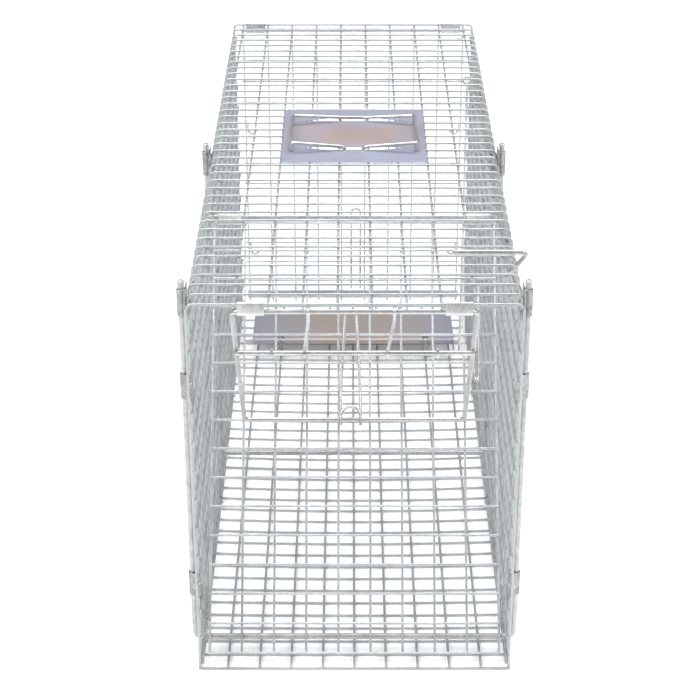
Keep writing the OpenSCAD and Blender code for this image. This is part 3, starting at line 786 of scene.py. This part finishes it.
def bent_hooks():
    """Small J hooks at the sides of the rear panel."""
    bm = bmesh.new()
    for points in solids("rear_latch_hooks"):
        low, high = box_of(points)
        r, y = (high.y - low.y) / 2, (low.y + high.y) / 2
        side = 1 if low.x > 0 else -1
        outer, inner = max(abs(low.x), abs(high.x)) - r, min(abs(low.x), abs(high.x)) + r
        bend = (outer - inner) / 2
        centre = Vector((side * (outer + inner) / 2, y, low.z + r + bend))
        path = [Vector((side * outer, y, high.z))] + arc(centre, X * side, Z, bend, 0, -180, 16)
        tube(bm, path, r, 12)
    finish_piece("rear_panel_j_hooks", bm, "rear_panel", "bright_wire", ("rear_latch_hooks",))


def bait_hook():
    """Hairpin with a round top on the inside of the rear panel."""
    low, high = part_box("bait_hook")
    r, y = (high.y - low.y) / 2, (low.y + high.y) / 2
    mid, half = (low.x + high.x) / 2, (high.x - low.x) / 2 - r
    top = Vector((mid, y, high.z - r - half))
    path = [Vector((mid + half, y, low.z))] + arc(top, X, Z, half, 0, 180, 16)
    path.append(Vector((mid - half, y, low.z)))
    bm = bmesh.new()
    tube(bm, path, r, 12)
    finish_piece("bait_hairpin", bm, "rear_panel", "bright_wire", ("bait_hook",))


def bottom_rail():
    """Strip along the panel's lower edge, with softened corners."""
    low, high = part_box("rear_bottom_rail")
    bm = bmesh.new()
    bmesh.ops.create_cube(bm, size=1, matrix=Matrix.LocRotScale((low + high) / 2, None, high - low))
    bmesh.ops.bevel(bm, geom=bm.edges[:], offset=0.6 * MM, segments=3, profile=0.5, affect="EDGES")
    finish_piece("rear_panel_bottom_strip", bm, "rear_panel", "rail_sheet", ("rear_bottom_rail",),
                 smooth_deg=15)


round_rod("rear_panel_top_bar", "rear_top_rod", "rear_panel")
straight_wires("rear_panel_upright_wires", "rear_long_wires", "rear_panel", "panel_mesh", SHOW_R, 0.3 * MM)
straight_wires("rear_panel_crosswise_wires", "rear_cross_wires", "rear_panel", "panel_mesh", SHOW_R)
bent_hooks()
bait_hook()
bottom_rail()


# ---------------------------------------------------------------- treadle and trigger

TREADLE_PIVOT = Vector(JOINTS["treadle_pivot"]["pos_m"])
TRIGGER_PIVOT = Vector(JOINTS["trigger_rod_turn"]["pos_m"])
# Middle line of the sheet that is rolled round the treadle's pivot rod.
KNUCKLE_R = 2.6 * MM
# The trigger's rod and link stand this far inside their CAD boxes.
INSET = 0.05 * MM


def hole_outline(centre, axis_a, axis_b, radius, count=28):
    """Evenly spaced points round a hole, without the last one, which is the first again."""
    return arc(centre, axis_a, axis_b, radius, 0, 360 - 360 / count, count - 1)


def treadle():
    """Sheet rolled round its pivot rod at the front, with folded sides and an arm to the link."""
    low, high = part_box("treadle_plate")
    pivot_y, pivot_z = TREADLE_PIVOT.y, TREADLE_PIVOT.z
    thick, fold_r, notch_half, lip_inset = 1 * MM, 1.4 * MM, 3 * MM, 0.3 * MM
    top, skirt = pivot_z + KNUCKLE_R, pivot_z - 2.9 * MM
    half = high.x - thick / 2
    bm = bmesh.new()
    corners = [Vector((x, 0, z)) for x, z in ((-half, skirt), (-half, top), (half, top), (half, skirt))]
    sheet_strip(bm, filleted(corners, fold_r, 5), Y * (pivot_y + 8 * MM), Y * high.y, thick)
    lip = [Vector((0, pivot_y + y * MM, top - 0.01 * MM)) for y in (4.6, 6.5, 8.6)]
    sheet_strip(bm, lip, X * (low.x + lip_inset), X * (high.x - lip_inset), thick)
    notches = sorted(float(p[:, 0].mean()) for p in solids("treadle_clips"))
    edges = [low.x] + [x + side * notch_half for x in notches for side in (-1, 1)] + [high.x]
    knuckle = arc(Vector((0, pivot_y, pivot_z)), Y, Z, KNUCKLE_R, 320, 90, 22)
    knuckle.append(Vector((0, pivot_y + 5.4 * MM, top)))
    for x0, x1 in zip(edges[::2], edges[1::2]):
        sheet_strip(bm, knuckle, X * x0, X * x1, thick)
    treadle_arm(bm, high.x)
    finish_piece("treadle_sheet", bm, "treadle", "treadle_sheet", ("treadle_plate",))


def treadle_arm(bm, side_x):
    """Adds the arm at the treadle's right side, with a hole for the foot of the link."""
    eye_r, hole_r, arm_in, arm_thick, pin_in = 4 * MM, 2.1 * MM, 1.5 * MM, 1.45 * MM, 1.55 * MM
    top_up, neck_back, back_y = 2.2 * MM, 8 * MM, TREADLE_PIVOT.y + 20 * MM
    pin = Vector((side_x - arm_in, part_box("trigger_link")[0].y + pin_in, TREADLE_PIVOT.z))
    outer = arc(pin, Y, Z, eye_r, 90, 270, 14)
    outer += [Vector((pin.x, back_y, pin.z - eye_r)), Vector((pin.x, back_y, pin.z + top_up)),
              Vector((pin.x, pin.y + neck_back, pin.z + top_up))]
    flat_ring(bm, outer, hole_outline(pin, Y, Z, hole_r), X, arm_thick)


def treadle_clips():
    """Each clip is a strip over the pivot rod whose legs meet and stand on a ring round a floor wire."""
    strip_thick, ring_thick, ring_half = 0.95 * MM, 0.9 * MM, 1.3 * MM
    pivot_y, pivot_z = TREADLE_PIVOT.y, TREADLE_PIVOT.z
    wire_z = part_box("floor_long_wires")[1].z - WIRE_R
    foot_z, neck_z = wire_z + 1.6 * MM, pivot_z - 4 * MM
    front_y, back_y = pivot_y - 0.5 * MM, pivot_y + 0.5 * MM
    bm = bmesh.new()
    for points in solids("treadle_clips"):
        low, high = box_of(points)
        path = [Vector((0, front_y, foot_z)), Vector((0, front_y, neck_z))]
        path += arc(Vector((0, pivot_y, pivot_z)), Y, Z, KNUCKLE_R, 240, -60, 20)
        path += [Vector((0, back_y, neck_z)), Vector((0, back_y, foot_z))]
        sheet_strip(bm, path, X * low.x, X * high.x, strip_thick)
        ring = arc(Vector(((low.x + high.x) / 2, 0, wire_z)), X, Z, WIRE_R + 0.6 * MM, -255, 75, 22)
        sheet_strip(bm, ring, Y * (pivot_y - ring_half), Y * (pivot_y + ring_half), ring_thick)
    finish_piece("treadle_pivot_clips", bm, "cage", "keeper_steel", ("treadle_clips",))


def trigger_rod():
    """Rod with a bent hook at its front end and a flat crank for the top of the link."""
    r, bend = 2 * MM, 2.6 * MM
    low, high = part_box("trigger_rod")
    x, z = TRIGGER_PIVOT.x, TRIGGER_PIVOT.z
    hook_z, elbow_x, hook_y = high.z - r - INSET, high.x - r - INSET, low.y + r + INSET
    corners = [(low.x, hook_y, hook_z), (elbow_x, hook_y, hook_z), (x, hook_y, z), (x, high.y, z)]
    bm = bmesh.new()
    tube(bm, filleted(corners, bend, 8), r, 18)
    throw, eye_r, root_r, hole_r, thick = 7.5 * MM, 4.4 * MM, 3.4 * MM, 2.6 * MM, 1.5 * MM
    crank_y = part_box("trigger_link")[1].y - 3.5 * MM
    eye, root = Vector((x - throw, crank_y, z)), Vector((x, crank_y, z))
    outer = arc(eye, X, Z, eye_r, 97, 263, 16) + arc(root, X, Z, root_r, -83, 83, 12)
    flat_ring(bm, outer, hole_outline(eye, X, Z, hole_r), Y, thick)
    finish_piece("trigger_hook_rod", bm, "trigger_rod", "rod_steel", ("trigger_rod",))


def flat_ring(bm, outer, hole, axis, thick):
    """Adds a flat plate with one hole. Each point of the outline is joined to the hole's point that lies
    in its direction, so the two outlines may have different counts."""
    count = len(outer)
    centre = sum(hole, Vector()) / len(hole)
    rim = []
    for p in outer:
        toward = (p - centre).normalized()
        rim.append(max(hole, key=lambda h: (h - centre).dot(toward)))
    layers = []
    for shift in (0, thick):
        layers.append(([bm.verts.new(p + axis * shift) for p in outer],
                       [bm.verts.new(p + axis * shift) for p in rim]))
    (out_a, in_a), (out_b, in_b) = layers
    for k in range(count):
        n = (k + 1) % count
        bm.faces.new((out_a[k], out_a[n], out_b[n], out_b[k]))
        bm.faces.new((in_a[n], in_a[k], in_b[k], in_b[n]))
        bm.faces.new((out_a[n], out_a[k], in_a[k], in_a[n]))
        bm.faces.new((out_b[k], out_b[n], in_b[n], in_b[k]))


def trigger_link():
    """Wire whose foot goes into the treadle's arm and whose top goes into the crank."""
    r, bend = 1.5 * MM, 3 * MM
    low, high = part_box("trigger_link")
    x, y, foot_z = high.x - r - INSET, low.y + r + INSET, low.z + r + INSET
    corners = [(low.x, y, foot_z), (x, y, foot_z), (x, y, TRIGGER_PIVOT.z), (x, high.y, TRIGGER_PIVOT.z)]
    bm = bmesh.new()
    tube(bm, filleted(corners, bend, 6), r, 14)
    finish_piece("trigger_link_wire", bm, "trigger_link", "bright_wire", ("trigger_link",))


def trigger_guides():
    """Sleeves that roll round the trigger rod and the uppermost wire of the right wall."""
    bore_r, thick = 2.1 * MM, 0.8 * MM
    top_wire = max(solids("right_wall_long_wires"), key=lambda p: p[:, 2].mean())
    middle = (top_wire.min(0) + top_wire.max(0)) / 2
    sleeves("trigger_rod_guides", "trigger_guides", "cage", (TRIGGER_PIVOT.x, 0, TRIGGER_PIVOT.z), bore_r,
            (middle[0], 0, middle[2]), WIRE_R + GRIP, Z, X, "keeper_steel", thick)


round_rod("treadle_pivot_bar", "treadle_pivot_rod", "cage")
treadle()
treadle_clips()
trigger_rod()
trigger_link()
trigger_guides()
